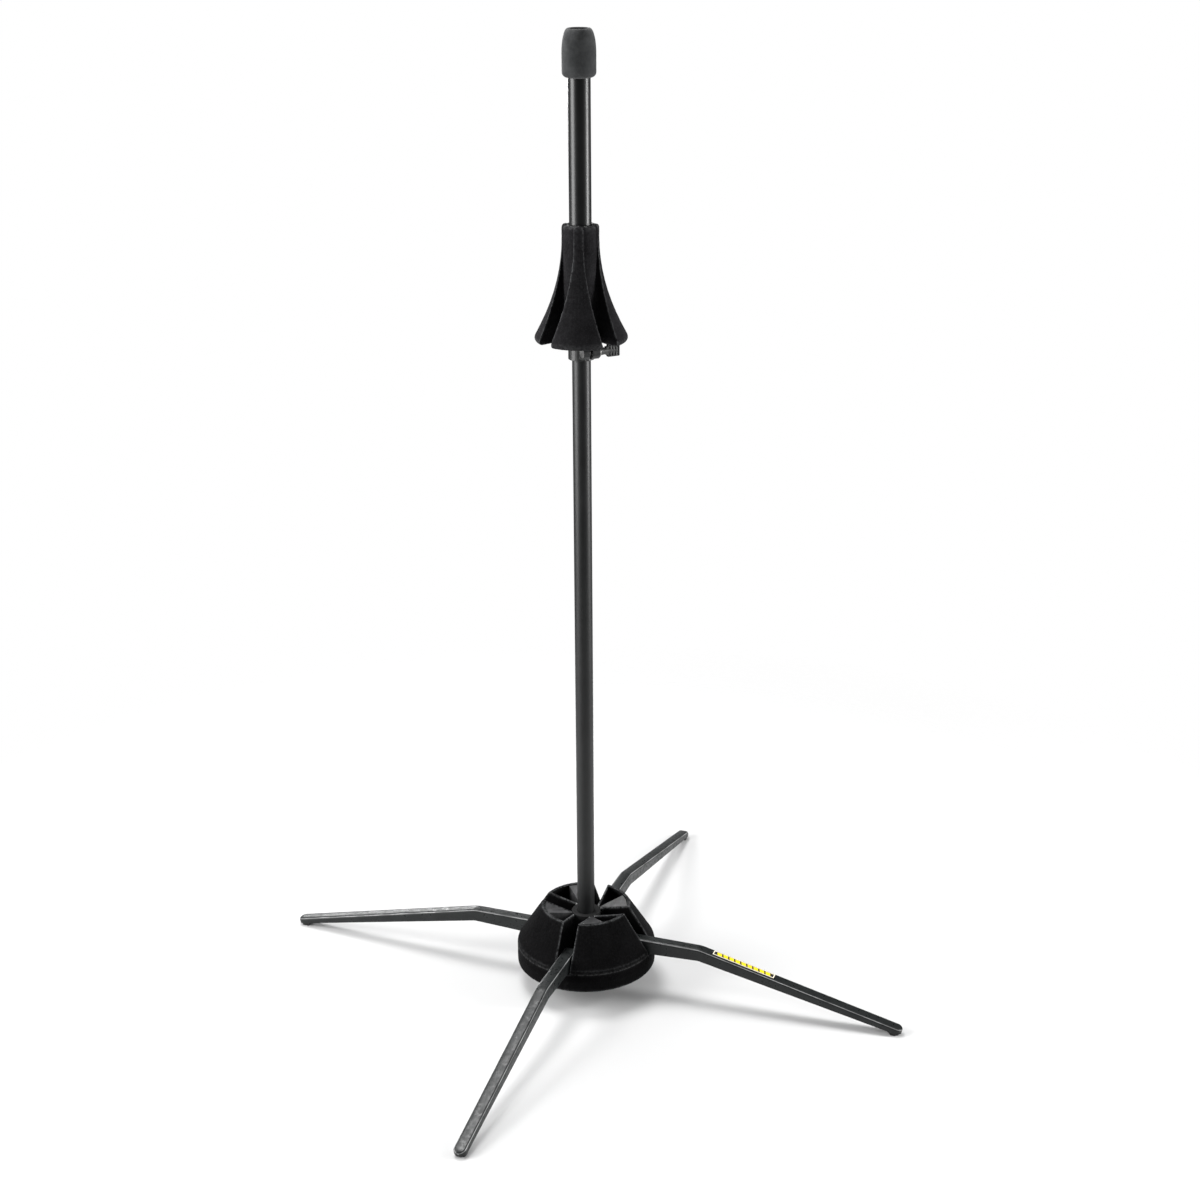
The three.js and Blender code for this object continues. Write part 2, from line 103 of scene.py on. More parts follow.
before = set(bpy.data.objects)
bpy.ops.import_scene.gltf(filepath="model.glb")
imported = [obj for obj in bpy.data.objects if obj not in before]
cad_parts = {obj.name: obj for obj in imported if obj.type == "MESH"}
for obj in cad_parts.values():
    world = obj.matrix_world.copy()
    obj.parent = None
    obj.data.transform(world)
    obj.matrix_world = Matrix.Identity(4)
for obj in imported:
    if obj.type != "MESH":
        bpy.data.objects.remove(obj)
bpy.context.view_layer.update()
chance = np.random.default_rng(5)


# ---------- shader nodes ----------

class Finish:
    """A material in the making: a Principled shader with short calls for the nodes used here.

    Noise and cell scales are features per metre, and bump distances are metres.
    """

    def __init__(self, name, **constants):
        self.material = bpy.data.materials.new(name)
        self.material.use_nodes = True
        self.tree = self.material.node_tree
        self.shader = self.tree.nodes["Principled BSDF"]
        for socket, value in constants.items():
            self.shader.inputs[socket.replace("_", " ")].default_value = value
        self.place = self.add("ShaderNodeTexCoord").outputs["Object"]

    def add(self, kind, **settings):
        node = self.tree.nodes.new(kind)
        for key, value in settings.items():
            setattr(node, key, value)
        return node

    def put(self, value, socket):
        """Links a node's output to a socket, or sets a constant on it."""
        if isinstance(value, bpy.types.NodeSocket):
            self.tree.links.new(value, socket)
        else:
            socket.default_value = value

    def drive(self, name, value):
        self.put(value, self.shader.inputs[name])

    def maths(self, operation, a, b=0.0, c=0.0):
        node = self.add("ShaderNodeMath", operation=operation)
        for value, socket in zip((a, b, c), node.inputs):
            self.put(value, socket)
        return node.outputs[0]

    def times(self, a, b):
        return self.maths("MULTIPLY", a, b)

    def stretched(self, x, y, z):
        """The place on the piece, scaled along each axis."""
        node = self.add("ShaderNodeVectorMath", operation="MULTIPLY")
        self.put(self.place, node.inputs[0])
        node.inputs[1].default_value = (x, y, z)
        return node.outputs[0]

    def noise(self, scale, detail=2.0, rough=0.5, place=None):
        node = self.add("ShaderNodeTexNoise")
        self.put(place or self.place, node.inputs["Vector"])
        node.inputs["Scale"].default_value = scale
        node.inputs["Detail"].default_value = detail
        node.inputs["Roughness"].default_value = rough
        return node.outputs["Fac"]

    def cells(self, scale):
        node = self.add("ShaderNodeTexVoronoi")
        self.put(self.place, node.inputs["Vector"])
        node.inputs["Scale"].default_value = scale
        return node.outputs["Distance"]

    def attribute(self, name):
        return self.add("ShaderNodeAttribute", attribute_name=name).outputs["Fac"]

    def axis(self, index):
        node = self.add("ShaderNodeSeparateXYZ")
        self.put(self.place, node.inputs[0])
        return node.outputs[index]

    def radius(self):
        """Distance from the shaft axis."""
        flat = self.add("ShaderNodeVectorMath", operation="LENGTH")
        self.put(self.stretched(1.0, 1.0, 0.0), flat.inputs[0])
        return flat.outputs["Value"]

    def spread(self, value, low, high, to_low=0.0, to_high=1.0):
        """Maps low..high to to_low..to_high, and clamps."""
        node = self.add("ShaderNodeMapRange", clamp=True)
        limits = {"From Min": low, "From Max": high, "To Min": to_low, "To Max": to_high}
        for key, number in limits.items():
            node.inputs[key].default_value = number
        self.put(value, node.inputs["Value"])
        return node.outputs["Result"]

    def blend(self, share, first, second):
        """A colour that goes from the first to the second as the share rises."""
        node = self.add("ShaderNodeMix", data_type="RGBA")
        self.put(share, node.inputs["Factor"])
        self.put(first, node.inputs[6])
        self.put(second, node.inputs[7])
        return node.outputs[2]

    def bump(self, height, distance, strength=1.0, normal=None):
        node = self.add("ShaderNodeBump")
        node.inputs["Strength"].default_value = strength
        node.inputs["Distance"].default_value = distance
        self.put(height, node.inputs["Height"])
        if normal is not None:
            self.put(normal, node.inputs["Normal"])
        return node.outputs["Normal"]

    def soft_edges(self, radius):
        node = self.add("ShaderNodeBevel", samples=6)
        node.inputs["Radius"].default_value = radius
        return node.outputs["Normal"]


def grey(level, tint=(1.0, 1.0, 1.0)):
    """An opaque colour of an even level, or one tinted a little."""
    return tuple(level * t for t in tint) + (1.0,)


# ---------- materials ----------

def tube_paint(name, dark, light, roughness, coat):
    """Sprayed paint on a drawn tube: faint lengthwise draw lines, orange peel and dust."""
    finish = Finish(name, Coat_Weight=coat, Coat_Roughness=0.2, IOR=1.42)
    cool = (0.95, 1.0, 1.02)
    along = finish.stretched(1.0, 1.0, 0.02)
    lines = finish.noise(1400, 3, 0.6, along)
    clouds = finish.noise(28, 3)
    body = finish.blend(finish.spread(clouds, 0.35, 0.7), grey(dark, cool), grey(light, cool))
    finish.drive("Base Color", body)
    scuffed = finish.maths("MULTIPLY_ADD", finish.spread(clouds, 0.3, 0.7), 0.05, roughness - 0.03)
    finish.drive("Roughness", finish.maths("MULTIPLY_ADD", lines, 0.05, scuffed))
    peel = finish.bump(finish.noise(900, 2), 0.00002, 0.35)
    finish.drive("Normal", finish.bump(lines, 0.000015, 0.4, peel))
    return finish.material


def leg_paint():
    """Satin powder coat on pressed steel, with small pits and a painted highlight along its rounded top
    edges.
    """
    finish = Finish("leg_powder_coat", Coat_Weight=0.09, Coat_Roughness=0.14, IOR=1.34)
    cool = (0.86, 1.0, 1.0)
    clouds = finish.noise(60, 4, 0.6)
    grain = finish.noise(1600, 3, 0.65)
    body = finish.blend(finish.spread(clouds, 0.3, 0.75), grey(0.007, cool), grey(0.014, cool))
    flecks = finish.spread(finish.noise(2600, 1), 0.66, 0.78)
    body = finish.blend(finish.times(flecks, 0.3), body, grey(0.06, cool))
    # painted highlight: the marked top edges are painted light grey in patches, standing in for the light
    # that their rounding catches
    line = finish.spread(finish.attribute("edge"), 0.3, 0.85)
    painted_edge_highlight = finish.times(line, finish.spread(clouds, 0.38, 0.6, 0.35, 1.0))
    finish.drive("Base Color", finish.blend(finish.times(painted_edge_highlight, 0.85), body, grey(0.45)))
    mottled = finish.spread(finish.noise(330, 3, 0.6), 0.35, 0.65, 0.0, 0.26)
    finish.drive("Roughness", finish.maths("MULTIPLY_ADD", grain, 0.12, finish.maths("ADD", mottled, 0.2)))
    peel = finish.bump(finish.noise(420, 2), 0.00006, 0.4)
    finish.drive("Normal", finish.bump(grain, 0.00002, 0.6, peel))
    return finish.material


def flock(name, dark, light, seam=None):
    """Short black pile: soft speckle, brushed patches, and a painted highlight along its cut edges."""
    finish = Finish(name, Roughness=1.0, Sheen_Weight=0.07, Sheen_Roughness=0.3, IOR=1.12)
    finish.shader.inputs["Sheen Tint"].default_value = grey(0.5, (0.97, 0.98, 1.0))
    warm = (1.0, 0.96, 1.04)
    pile = finish.noise(1500, 4, 0.7)
    brushed = finish.noise(75, 3, 0.6)
    body = finish.blend(finish.spread(brushed, 0.35, 0.7), grey(dark, warm), grey(dark * 1.9, warm))
    specks = finish.spread(pile, 0.54, 0.72)
    body = finish.blend(finish.times(specks, 0.8), body, grey(light, warm))
    # painted highlight: edges that stand out are painted pale grey in patches, where the cut pile catches
    # the light
    patchy = finish.spread(finish.noise(420, 3, 0.7), 0.34, 0.6)
    edge = finish.times(finish.attribute("edge"), patchy)
    body = finish.blend(finish.times(edge, 0.85), body, grey(0.12, (0.98, 1.0, 1.02)))
    strands = finish.spread(finish.noise(650, 2), 0.5, 0.6)
    frayed = finish.times(finish.attribute("fray"), strands)
    body = finish.blend(frayed, body, grey(0.36, (1.0, 1.01, 1.0)))
    if seam is not None:
        away = finish.maths("ABSOLUTE", finish.maths("SUBTRACT", finish.axis(2), seam))
        line = finish.times(finish.spread(away, 0.0001, 0.0006, 1.0, 0.0), patchy)
        body = finish.blend(finish.times(line, 0.55), body, grey(0.06))
    finish.drive("Base Color", body)
    soft = finish.bump(brushed, 0.0006, 0.25)
    finish.drive("Normal", finish.bump(pile, 0.00025, 0.8, soft))
    return finish.material


def foam_skin():
    """Closed-cell charcoal foam with fine pores, rubbed paler on its edges."""
    finish = Finish("foam_skin", Roughness=0.92, Sheen_Weight=0.12, Sheen_Roughness=0.5, IOR=1.3)
    cool = (0.95, 1.0, 1.03)
    clouds = finish.noise(120, 4, 0.6)
    body = finish.blend(finish.spread(clouds, 0.3, 0.7), grey(0.024, cool), grey(0.040, cool))
    pores = finish.spread(finish.cells(1500), 0.0, 0.32)
    body = finish.blend(pores, grey(0.014, cool), body)
    rubbed = finish.times(finish.attribute("edge"), finish.spread(clouds, 0.35, 0.6))
    finish.drive("Base Color", finish.blend(finish.times(rubbed, 0.6), body, grey(0.12)))
    coarse = finish.bump(finish.noise(500, 3), 0.0001, 0.4)
    finish.drive("Normal", finish.bump(pores, 0.0001, 0.7, coarse))
    return finish.material


def moulded(name, dark, light, roughness, tint=(1, 1, 1), edge=0.0002, streaks=0.0, socket=0.0):
    """Moulded plastic with spark grain, soft edges and flow marks; painted shade inside a socket radius,
    round the shaft.
    """
    finish = Finish(name, IOR=1.46)
    clouds = finish.noise(210, 4, 0.65)
    flow = finish.noise(240, 2, 0.5, finish.stretched(1.0, 0.15, 0.4))
    body = finish.blend(finish.spread(clouds, 0.35, 0.68), grey(dark, tint), grey(light, tint))
    if streaks:
        marks = finish.times(finish.spread(flow, 0.5, 0.72), streaks)
        body = finish.blend(marks, body, grey(light * 2.2, tint))
    # painted shade: inside the socket radius the moulding is painted near black and made fully rough,
    # round the shaft in its socket
    if socket:
        outside = finish.spread(finish.radius(), socket, socket * 1.2)
        body = finish.blend(outside, grey(dark * 0.25, tint), body)
    finish.drive("Base Color", body)
    rough = finish.maths("MULTIPLY_ADD", finish.noise(700, 2), 0.16, roughness - 0.08)
    if socket:
        rough = finish.maths("MAXIMUM", rough, finish.maths("SUBTRACT", 1.0, outside))
    finish.drive("Roughness", rough)
    grain = finish.bump(finish.noise(2600, 2), 0.00003, 0.6, finish.soft_edges(edge))
    finish.drive("Normal", finish.bump(flow, 0.00004, 0.3, grain))
    return finish.material


def steel_finish():
    """Zinc-plated fasteners with turned marks and dull patches."""
    finish = Finish("zinc_steel", Metallic=1.0)
    clouds = finish.noise(400, 3, 0.6)
    body = finish.blend(finish.spread(clouds, 0.3, 0.7), grey(0.22), grey(0.42, (1.0, 0.99, 0.96)))
    finish.drive("Base Color", body)
    finish.drive("Roughness", finish.maths("MULTIPLY_ADD", clouds, 0.25, 0.25))
    marks = finish.noise(3000, 1, 0.5, finish.stretched(1.0, 1.0, 0.1))
    finish.drive("Normal", finish.bump(marks, 0.00001, 0.5, finish.soft_edges(0.0003)))
    return finish.material


def label_bars(finish, x, y, half):
    """1 on the slanted bars of the label and 0 between them."""
    margin = LABEL["margin"]
    pitch = (2 * half.x - 2 * margin) / LABEL["bars"]
    slant = finish.maths("MULTIPLY_ADD", y, LABEL["slant"], x)
    count = finish.maths("DIVIDE", finish.maths("ADD", slant, half.x - margin), pitch)
    phase = finish.maths("FRACT", count)
    return finish.times(finish.spread(phase, 0.08, 0.13), finish.spread(phase, 0.82, 0.87, 1, 0))


def label_print():
    """A generic label: slanted yellow bars on black, inside a thin cream outline."""
    finish = Finish("label_print", Coat_Weight=0.4, Coat_Roughness=0.2)
    low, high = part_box("label_strip")
    centre, half = (low + high) / 2, (high - low) / 2
    x = finish.maths("SUBTRACT", finish.axis(0), centre.x)
    y = finish.maths("SUBTRACT", finish.axis(1), centre.y)
    to_end = finish.maths("SUBTRACT", half.x, finish.maths("ABSOLUTE", x))
    to_side = finish.maths("SUBTRACT", half.y, finish.maths("ABSOLUTE", y))
    inward = finish.maths("MINIMUM", to_end, to_side)
    rise, full, fall, gone = LABEL["outline"]
    outline = finish.times(finish.spread(inward, rise, full), finish.spread(inward, fall, gone, 1, 0))
    inside = finish.times(finish.spread(to_side, 0.0013, 0.0015), finish.spread(to_end, 0.0026, 0.003))
    rubbed = finish.spread(finish.noise(900, 3), 0.3, 0.45, 0.7, 1.0)
    body = finish.blend(finish.noise(300, 2), grey(0.008), grey(0.02))
    yellow = finish.blend(finish.noise(260, 2), (0.86, 0.62, 0.01, 1), (1.0, 0.78, 0.01, 1))
    printed = finish.times(finish.times(label_bars(finish, x, y, half), inside), rubbed)
    body = finish.blend(printed, body, yellow)
    cream = (0.92, 0.85, 0.68, 1)
    finish.drive("Base Color", finish.blend(finish.times(outline, 0.9), body, cream))
    finish.drive("Roughness", finish.maths("MULTIPLY_ADD", finish.noise(500, 2), 0.15, 0.3))
    finish.drive("Normal", finish.soft_edges(0.0002))
    return finish.material


# ---------- mesh helpers ----------

def places(mesh):
    """Vertex places as rows."""
    flat = np.empty(len(mesh.vertices) * 3)
    mesh.vertices.foreach_get("co", flat)
    return flat.reshape(-1, 3)


def outward(mesh):
    """Vertex normals as rows."""
    flat = np.empty(len(mesh.vertices) * 3)
    mesh.vertex_normals.foreach_get("vector", flat)
    return flat.reshape(-1, 3)


def move_to(mesh, points):
    """Puts each vertex at its row of the points."""
    mesh.vertices.foreach_set("co", np.asarray(points, np.float32).ravel())
    mesh.update()


def neighbour_mean(mesh, values, passes):
    """Each vertex's values, averaged over its neighbours again and again."""
    ends = np.empty(len(mesh.edges) * 2, np.int32)
    mesh.edges.foreach_get("vertices", ends)
    a, b = ends.reshape(-1, 2).T
    count = len(mesh.vertices)
    degree = np.maximum(np.bincount(a, minlength=count) + np.bincount(b, minlength=count), 1)
    for _ in range(passes):
        total = [
            np.bincount(a, column[b], minlength=count) + np.bincount(b, column[a], minlength=count)
            for column in values.T
        ]
        values = np.stack(total, 1) / degree[:, None]
    return values


def store(mesh, name, values):
    """Keeps one number for each vertex, for the materials to read."""
    layer = mesh.attributes.new(name, "FLOAT", "POINT")
    layer.data.foreach_set("value", np.asarray(values, np.float32))


def mark_edges(mesh, passes, reach, keep=1.0):
    """Stores in 'edge' how far each vertex that is kept stands out from its smoothed surroundings."""
    points = places(mesh)
    lift = np.einsum("ij,ij->i", points - neighbour_mean(mesh, points, passes), outward(mesh))
    store(mesh, "edge", np.clip(lift / reach, 0, 1) * keep)


def piece(name, mesh, body, material, replaced, sharp=None):
    """A finished object that rides on a body and stands for CAD nodes."""
    mesh.materials.clear()
    mesh.materials.append(material)
    mesh.polygons.foreach_set("use_smooth", [True] * len(mesh.polygons))
    if sharp is not None:
        mesh.set_sharp_from_angle(angle=sharp)
    obj = bpy.data.objects.new(name, mesh)
    bpy.context.scene.collection.objects.link(obj)
    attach(obj, body)
    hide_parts(*replaced)
    return obj


def mesh_of(name, points, faces):
    mesh = bpy.data.meshes.new(name)
    mesh.from_pydata([tuple(p) for p in points], [], faces)
    mesh.update()
    return mesh


def filleted(outline, radius, steps=4):
    """A closed outline of (r, z) points with every corner rounded."""
    result = []
    for i, point in enumerate(outline):
        corner = Vector(point)
        back = Vector(outline[i - 1]) - corner
        ahead = Vector(outline[(i + 1) % len(outline)]) - corner
        reach = min(radius, 0.45 * back.length, 0.45 * ahead.length)
        start = corner + back.normalized() * reach
        end = corner + ahead.normalized() * reach
        for k in range(steps + 1):
            t = k / steps
            result.append(start * (1 - t) ** 2 + corner * 2 * t * (1 - t) + end * t**2)
    return result


def lathe(name, outline, facets=FACETS):
    """A closed surface of revolution about the shaft axis."""
    count = len(outline)
    angles = [2 * math.pi * k / facets for k in range(facets)]
    points = [(r * math.cos(a), r * math.sin(a), z) for a in angles for r, z in outline]
    faces = [
        (
            k * count + i, ((k + 1) % facets) * count + i,
            ((k + 1) % facets) * count + (i + 1) % count, k * count + (i + 1) % count,
        )
        for k in range(facets) for i in range(count)
    ]
    return mesh_of(name, points, faces)


def fine_copy(node, voxel, passes):
    """A finely meshed copy of a CAD node with softened edges."""
    source = bpy.data.objects.new("source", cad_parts[node].data.copy())
    bpy.context.scene.collection.objects.link(source)
    source.modifiers.new("weld", "WELD").merge_threshold = 1e-6
    remesh = source.modifiers.new("remesh", "REMESH")
    remesh.mode = "VOXEL"
    remesh.voxel_size = voxel
    smooth = source.modifiers.new("smooth", "SMOOTH")
    smooth.factor = 0.5
    smooth.iterations = passes
    graph = bpy.context.evaluated_depsgraph_get()
    mesh = bpy.data.meshes.new_from_object(source.evaluated_get(graph), depsgraph=graph)
    bpy.data.objects.remove(source)
    return mesh


def round_out(mesh):
    """Pushes the CAD facets out onto the circle that they stand for."""
    points = places(mesh)
    step = 2 * math.pi / CAD_FACETS
    off = np.mod(np.arctan2(points[:, 1], points[:, 0]), step) - step / 2
    points[:, :2] *= (np.cos(off) / math.cos(step / 2))[:, None]
    move_to(mesh, points)


def fuzz(mesh, amount, share=1.0):
    """Small seeded bumps along the surface, like pile or torn fibre."""
    count = len(mesh.vertices)
    rough = chance.normal(0, 1, (count, 1))
    rough = neighbour_mean(mesh, rough, 1)
    push = outward(mesh) * rough * amount
    share = np.broadcast_to(np.asarray(share), (count,))
    move_to(mesh, places(mesh) + push * share[:, None])


# ---------- shaft ----------

def shaft_tube(name, node, body, wall, material):
    """A tube that keeps its CAD length and outside, with rounded rims and a true circle."""
    low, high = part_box(node)
    outer = high.x
    outline = [(outer - wall, low.z), (outer, low.z), (outer, high.z), (outer - wall, high.z)]
    mesh = lathe(name, filleted(outline, TUBE_RIM))
    piece(name, mesh, body, material, [node], math.radians(50))


def foam_outline():
    """The sleeve's closed outline: up its outside, over the shoulder and down into its mouth."""
    low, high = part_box("foam_grip")
    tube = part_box("upper_tube")[1]
    radius, bore = high.x, tube.x + FOAM["bore_gap"]
    edge, lip = FOAM["edge"], FOAM["mouth"] + FOAM["lip"]
    steps = FOAM_STEPS
    turns = [math.radians(-86 + 78 * k / steps["edge"]) for k in range(steps["edge"] + 1)]
    lower = [
        (radius - edge + edge * math.cos(a), low.z + edge + edge * math.sin(a)) for a in turns
    ]
    start, side_top = lower[-1][1], FOAM["shoulder"] - 1 * MM
    side = [
        (radius, start + (side_top - start) * k / steps["side"])
        for k in range(1, steps["side"] + 1)
    ]
    turns = [math.pi / 2 * k / steps["shoulder"] for k in range(steps["shoulder"] + 1)]
    rise = high.z - FOAM["shoulder"]
    upper = [
        (lip + (radius - lip) * math.cos(a), FOAM["shoulder"] + rise * math.sin(a)) for a in turns
    ]
    rim, inner = high.z - FOAM["rim_drop"], tube.z + FOAM["end_gap"]
    mouth = [(FOAM["mouth"], z) for z in (rim, (rim + inner) / 2, inner)]
    return [(bore, low.z), *lower, *side, *upper, *mouth, (bore, inner)]


def foam_tip(material):
    """The soft sleeve over the shaft's end, closing in to a round mouth."""
    mesh = lathe("foam_tip", foam_outline())
    mark_edges(mesh, passes=3, reach=0.0003)
    fuzz(mesh, PILE["foam"])
    obj = piece("foam_tip", mesh, "upper", material, ["foam_grip"])


# ---------- bell cone and hub ----------

def near(distance, reach):
    """1 at no distance or less, falling to 0 at the reach."""
    return np.clip(1 - distance / reach, 0, 1)


def velvet_cone(material):
    """The slotted cone under short pile, torn a little where the tube leaves it."""
    mesh = fine_copy("bell_cone", voxel=0.5 * MM, passes=7)
    round_out(mesh)
    mark_edges(mesh, passes=5, reach=0.00028)
    points = places(mesh)
    radius = np.hypot(points[:, 0], points[:, 1])
    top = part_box("bell_cone")[1].z
    at_neck = near(radius - CONE["neck"], CONE["torn_out"])
    torn = near(top - points[:, 2], CONE["torn_down"]) * at_neck
    store(mesh, "fray", torn)
    fuzz(mesh, PILE["flock"], 1 + 3 * torn)
    obj = piece("velvet_cone", mesh, "upper", material, ["bell_cone"])


def flocked_hub(material):
    """The slotted hub under short pile, which fills its groove and is torn round the socket."""
    mesh = fine_copy("hub_shell", voxel=0.55 * MM, passes=4)
    round_out(mesh)
    points = places(mesh)
    radius = np.hypot(points[:, 0], points[:, 1])
    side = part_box("hub_shell")[1].x
    from_groove = np.abs(points[:, 2] - HUB["groove"])
    bridged = (from_groove < HUB["groove_reach"]) & (radius > side - HUB["groove_reach"])
    points[bridged, :2] *= (side / radius[bridged])[:, None]
    move_to(mesh, points)
    mark_edges(mesh, passes=5, reach=0.0003, keep=from_groove > HUB["unmarked"])
    at_socket = near(np.abs(radius - HUB["centre"]), HUB["torn_out"])
    torn = at_socket * near(HUB["top"] - points[:, 2], HUB["torn_down"])
    store(mesh, "fray", torn)
    fuzz(mesh, PILE["flock"], 1 + 3 * torn)
    piece("flocked_hub", mesh, "base", material, ["hub_shell"])


# ---------- legs ----------

def leg_top(x):
    """Height of the leg's top face at a distance from the axis."""
    return LEG["top"] - max(0.0, x - LEG["kink"]) * math.tan(SLOPE)


def leg_depth(x):
    """Height of the channel's sides at a distance from the axis."""
    ends = [LEG["inner"], LEG["kink"], LEG["tip"]]
    return float(np.interp(x, ends, [LEG["depth"], LEG["kink_depth"], LEG["tip_depth"]]))


def leg_stations(inset):
    """Places along a leg: straight, the round bend, the long slope and the rounded tip."""
    half = LEG["width"] / 2 - inset
    bend, steps = LEG["kink_round"], LEG_STEPS
    flat_end = LEG["kink"] - bend * math.tan(SLOPE / 2)
    stations = []
    for k in range(steps["straight"]):
        x = LEG["inner"] + (flat_end - LEG["inner"]) * k / steps["straight"]
        stations.append((x, LEG["top"], 0.0, half, 0.0))
    for k in range(steps["bend"] + 1):
        angle = SLOPE * k / steps["bend"]
        x = flat_end + bend * math.sin(angle)
        stations.append((x, LEG["top"] - bend * (1 - math.cos(angle)), angle, half, 0.0))
    bend_end = stations[-1][0]
    round_tip = LEG["tip_round"] - inset
    slope_end = LEG["tip"] - inset - round_tip
    for k in range(1, steps["slope"]):
        x = bend_end + (slope_end - bend_end) * k / steps["slope"]
        stations.append((x, leg_top(x), SLOPE, half, 0.0))
    for k in range(steps["tip"] + 1):
        turn = math.pi / 2 * k / steps["tip"]
        x = slope_end + round_tip * math.sin(turn)
        drop = LEG["tip_drop"] * (1 - math.cos(turn))
        narrowed = half - round_tip * (1 - math.cos(turn))
        stations.append((x, leg_top(x) - drop, SLOPE, narrowed, drop))
    return stations


def leg_row(station, inset):
    """One row of points from the left lower rim over the top to the right lower rim."""
    x, z, angle, half, drop = station
    depth = leg_depth(x) - drop
    edge = min(max(LEG["edge"] - inset, 0.5 * MM), 0.9 * half)
    steps = LEG_STEPS["edge"]
    turns = [math.pi / 2 * k / steps for k in range(steps + 1)]
    side = [(half - edge + edge * math.cos(a), -inset - edge + edge * math.sin(a)) for a in turns]
    right = [(half, -depth), (half, -(depth + inset + edge) / 2), *side]
    row = [(-y, h) for y, h in right] + [(0.0, -inset)] + right[::-1]
    return [(x + h * math.sin(angle), y, z + h * math.cos(angle)) for y, h in row]


def leg_mesh(name):
    """The pressed channel: an outer and an inner skin joined along the rims, the root and the tip."""
    outer = [leg_row(s, 0.0) for s in leg_stations(0.0)]
    inner = [leg_row(s, LEG["wall"]) for s in leg_stations(LEG["wall"])]
    rows, width = len(outer), len(outer[0])
    points = [p for row in outer + inner for p in row]

    def at(skin, i, k):
        return (skin * rows + i) * width + k

    last, end = rows - 1, width - 1
    faces = []
    for i in range(last):
        for k in range(end):
            faces.append((at(0, i, k), at(0, i, k + 1), at(0, i + 1, k + 1), at(0, i + 1, k)))
            faces.append((at(1, i, k), at(1, i + 1, k), at(1, i + 1, k + 1), at(1, i, k + 1)))
        faces.append((at(0, i, 0), at(0, i + 1, 0), at(1, i + 1, 0), at(1, i, 0)))
        faces.append((at(0, i, end), at(1, i, end), at(1, i + 1, end), at(0, i + 1, end)))
    for k in range(end):
        faces.append((at(0, 0, k), at(1, 0, k), at(1, 0, k + 1), at(0, 0, k + 1)))
    faces.append(tuple(at(0, last, k) for k in range(width)))
    faces.append(tuple(at(1, last, k) for k in reversed(range(width))))
    faces.append((at(0, last, 0), at(0, last, end), at(1, last, end), at(1, last, 0)))
    return mesh_of(name, points, faces)


def pressed_leg(index, material):
    """One leg, turned to its side of the hub, with its two long top edges marked for a painted highlight.
    """
    side = LEG_NAMES[index]
    name = f"pressed_leg_{side}"
    mesh = leg_mesh(name)
    mesh.transform(Matrix.Rotation(math.pi / 2 * index, 4, "Z"))
    # painted highlight: the middle of each rounded top edge on the outer skin is marked, and the paint
    # lightens it there
    rubbed = np.zeros((2, len(mesh.vertices) // 2 // LEG_ROW, LEG_ROW))
    rubbed[0][:, [CREASE, LEG_ROW - 1 - CREASE]] = 1
    store(mesh, "edge", rubbed.ravel())
    node = f"leg_channel_{side}"
    obj = piece(name, mesh, f"leg_{side}", material, [node], math.radians(40))
    rims = obj.modifiers.new("rims", "BEVEL")
    rims.width = 0.3 * MM
    rims.segments = 2
    rims.angle_limit = math.radians(50)
    rims.harden_normals = True


# ---------- clamp and other small pieces ----------

def fine_plastic(name, node, body, material, voxel, passes):
    """A small moulding: its CAD node meshed finely, with softened edges."""
    piece(name, fine_copy(node, voxel, passes), body, material, [node])


def finish_cad_nodes(finishes):
    """Gives each CAD node that still shows its material."""
    for node, material in finishes.items():
        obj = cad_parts[node]
        for slot in obj.material_slots:
            slot.link = "OBJECT"
            slot.material = material


# ---------- stage, light and camera ----------

def floor_finish():
    """Matt white paper that fades out into the white background."""
    finish = Finish("paper", Roughness=0.95, IOR=1.25)
    finish.drive("Base Color", finish.blend(finish.noise(3, 2), grey(0.59), grey(0.61)))
    radius = finish.add("ShaderNodeVectorMath", operation="LENGTH")
    finish.put(finish.place, radius.inputs[0])
    finish.drive("Alpha", finish.spread(radius.outputs["Value"], *FLOOR_FADE, 1.0, 0.0))
    return finish.material


def make_floor():
    """A wide round sheet, built of rings round the shaft."""
    count = 96
    angles = [2 * math.pi * k / count for k in range(count)]
    points = [(r * math.cos(a), r * math.sin(a), 0.0) for r in FLOOR_RINGS for a in angles]
    faces = [tuple(reversed(range(count)))]
    for i in range(len(FLOOR_RINGS) - 1):
        for k in range(count):
            after = (k + 1) % count
            inner, outer = i * count, (i + 1) * count
            faces.append((inner + k, outer + k, outer + after, inner + after))
    floor = bpy.data.objects.new("floor", mesh_of("floor", points, faces))
    floor.data.materials.append(floor_finish())
    bpy.context.scene.collection.objects.link(floor)


def make_world():
    """White to the camera and a dim grey studio to everything else."""
    world = bpy.data.worlds.new("studio")
    world.use_nodes = True
    tree = world.node_tree
    tree.nodes.clear()
    seen = tree.nodes.new("ShaderNodeBackground")
    seen.inputs["Color"].default_value = grey(1.0)
    seen.inputs["Strength"].default_value = 1.0
    dim = tree.nodes.new("ShaderNodeBackground")
    dim.inputs["Color"].default_value = grey(1.0, (0.96, 0.98, 1.0))
    dim.inputs["Strength"].default_value = ROOM_LIGHT
    path = tree.nodes.new("ShaderNodeLightPath")
    mix = tree.nodes.new("ShaderNodeMixShader")
    out = tree.nodes.new("ShaderNodeOutputWorld")
    tree.links.new(path.outputs["Is Camera Ray"], mix.inputs[0])
    tree.links.new(dim.outputs[0], mix.inputs[1])
    tree.links.new(seen.outputs[0], mix.inputs[2])
    tree.links.new(mix.outputs[0], out.inputs["Surface"])
    bpy.context.scene.world = world


